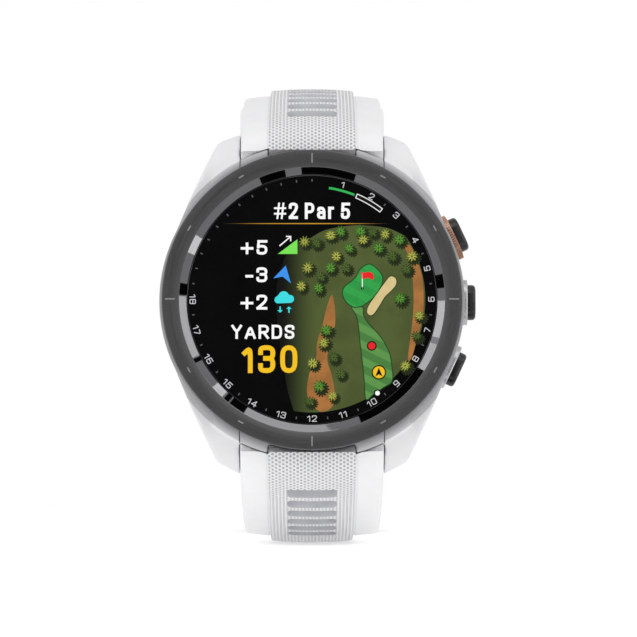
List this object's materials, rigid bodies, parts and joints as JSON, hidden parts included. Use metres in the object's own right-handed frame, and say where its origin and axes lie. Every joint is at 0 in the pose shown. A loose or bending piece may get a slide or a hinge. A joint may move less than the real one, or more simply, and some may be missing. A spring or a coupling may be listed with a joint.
{
  "type": "golf gps watch",
  "caption": "Round sports watch with a dark bezel ring, black glass, side buttons and a slotted silicone strap on spring bars.",
  "frame": {"origin": "centre of the sensor window's flat face, which rests on the wrist", "axes": "+X towards 3 o'clock, +Z towards 12 o'clock, +Y from the watch into the wrist, so the dial faces -Y"},
  "size_m": [0.044, 0.1085, 0.0685],
  "materials": {
    "case_white": "white moulded polymer with a fine matt grain",
    "bezel_metal": "dark grey brushed face ring with a polished inner chamfer",
    "glass_black": "black cover glass",
    "display_dark": "black display stack",
    "bracket_steel": "stamped steel",
    "copper": "rose-gold knurled metal",
    "board_green": "green solder mask",
    "battery_foil": "silver pouch foil",
    "bright_steel": "polished stainless steel",
    "board_blue": "blue solder mask",
    "seal_rubber": "black silicone seal",
    "back_polymer": "light grey moulded back plate",
    "window_black": "black optical window",
    "port_black": "black connector block",
    "button_black": "black polished button",
    "collar_grey": "grey satin collar",
    "strap_white": "white silicone with a dimpled centre panel"
  },
  "bodies": {
    "case": {"case_body": "case_white", "bezel": "bezel_metal", "cover_glass": "glass_black", "display_panel": "display_dark", "display_bracket": "bracket_steel", "gps_antenna": "copper", "main_board": "board_green", "battery": "battery_foil", "vibration_motor": "bright_steel", "sensor_board": "board_blue", "back_seal": "seal_rubber", "case_back": "back_polymer", "sensor_window": "window_black", "charge_port": "port_black", "back_screw_1": "bright_steel", "back_screw_2": "bright_steel", "back_screw_3": "bright_steel", "back_screw_4": "bright_steel", "upper_button_collar": "copper", "upper_button_seal": "seal_rubber", "upper_button_spring": "bright_steel", "upper_button_switch": "port_black", "middle_button_collar": "collar_grey", "middle_button_seal": "seal_rubber", "middle_button_spring": "bright_steel", "middle_button_switch": "port_black", "lower_button_collar": "collar_grey", "lower_button_seal": "seal_rubber", "lower_button_spring": "bright_steel", "lower_button_switch": "port_black"},
    "upper_press": {"upper_button": "button_black", "upper_button_clip": "bright_steel"},
    "middle_press": {"middle_button": "button_black", "middle_button_clip": "bright_steel"},
    "lower_press": {"lower_button": "button_black", "lower_button_clip": "bright_steel"},
    "upper_strap": {"upper_strap": "strap_white", "upper_bar_tube": "bright_steel", "upper_bar_fixed_pin": "bright_steel", "upper_bar_spring": "bright_steel", "fixed_keeper": "strap_white"},
    "upper_release": {"upper_bar_release_pin": "bright_steel"},
    "lower_strap": {"lower_strap": "strap_white", "lower_bar_tube": "bright_steel", "lower_bar_fixed_pin": "bright_steel", "lower_bar_spring": "bright_steel"},
    "lower_release": {"lower_bar_release_pin": "bright_steel"},
    "buckle": {"buckle_frame": "bright_steel", "buckle_bar": "bright_steel"},
    "tongue": {"buckle_tongue": "bright_steel"},
    "keeper": {"free_keeper": "strap_white"}
  },
  "joints": [
    {"name": "upper_button_press", "type": "slide", "parent": "case", "child": "upper_press", "axis": [-0.9063, 0, -0.4226], "range_m": [0, 0.0005], "stiffness_N_per_m": 1500, "springref_m": -0.0002},
    {"name": "middle_button_press", "type": "slide", "parent": "case", "child": "middle_press", "axis": [-1, 0, 0], "range_m": [0, 0.0005], "stiffness_N_per_m": 1500, "springref_m": -0.0002},
    {"name": "lower_button_press", "type": "slide", "parent": "case", "child": "lower_press", "axis": [-0.9063, 0, 0.4226], "range_m": [0, 0.0005], "stiffness_N_per_m": 1500, "springref_m": -0.0002},
    {"name": "upper_strap_swing", "type": "hinge", "parent": "case", "child": "upper_strap", "pos_m": [0, -0.0047, 0.0209], "axis": [-1, 0, 0], "range_deg": [0, 12]},
    {"name": "upper_bar_release", "type": "slide", "parent": "upper_strap", "child": "upper_release", "axis": [-1, 0, 0], "range_m": [0, 0.0012], "stiffness_N_per_m": 500, "springref_m": -0.001},
    {"name": "lower_strap_swing", "type": "hinge", "parent": "case", "child": "lower_strap", "pos_m": [0, -0.0047, -0.0209], "axis": [1, 0, 0], "range_deg": [0, 12]},
    {"name": "lower_bar_release", "type": "slide", "parent": "lower_strap", "child": "lower_release", "axis": [-1, 0, 0], "range_m": [0, 0.0012], "stiffness_N_per_m": 500, "springref_m": -0.001},
    {"name": "buckle_swing", "type": "hinge", "parent": "upper_strap", "child": "buckle", "pos_m": [0, 0.05457, 0.01904], "axis": [1, 0, 0], "range_deg": [-10, 35]},
    {"name": "tongue_swing", "type": "hinge", "parent": "buckle", "child": "tongue", "pos_m": [0, 0.05457, 0.01904], "axis": [1, 0, 0], "range_deg": [0, 60]},
    {"name": "free_keeper_slide", "type": "slide", "parent": "upper_strap", "child": "keeper", "axis": [0, 0.9241, -0.3822], "range_m": [-0.003, 0.003]}
  ]
}
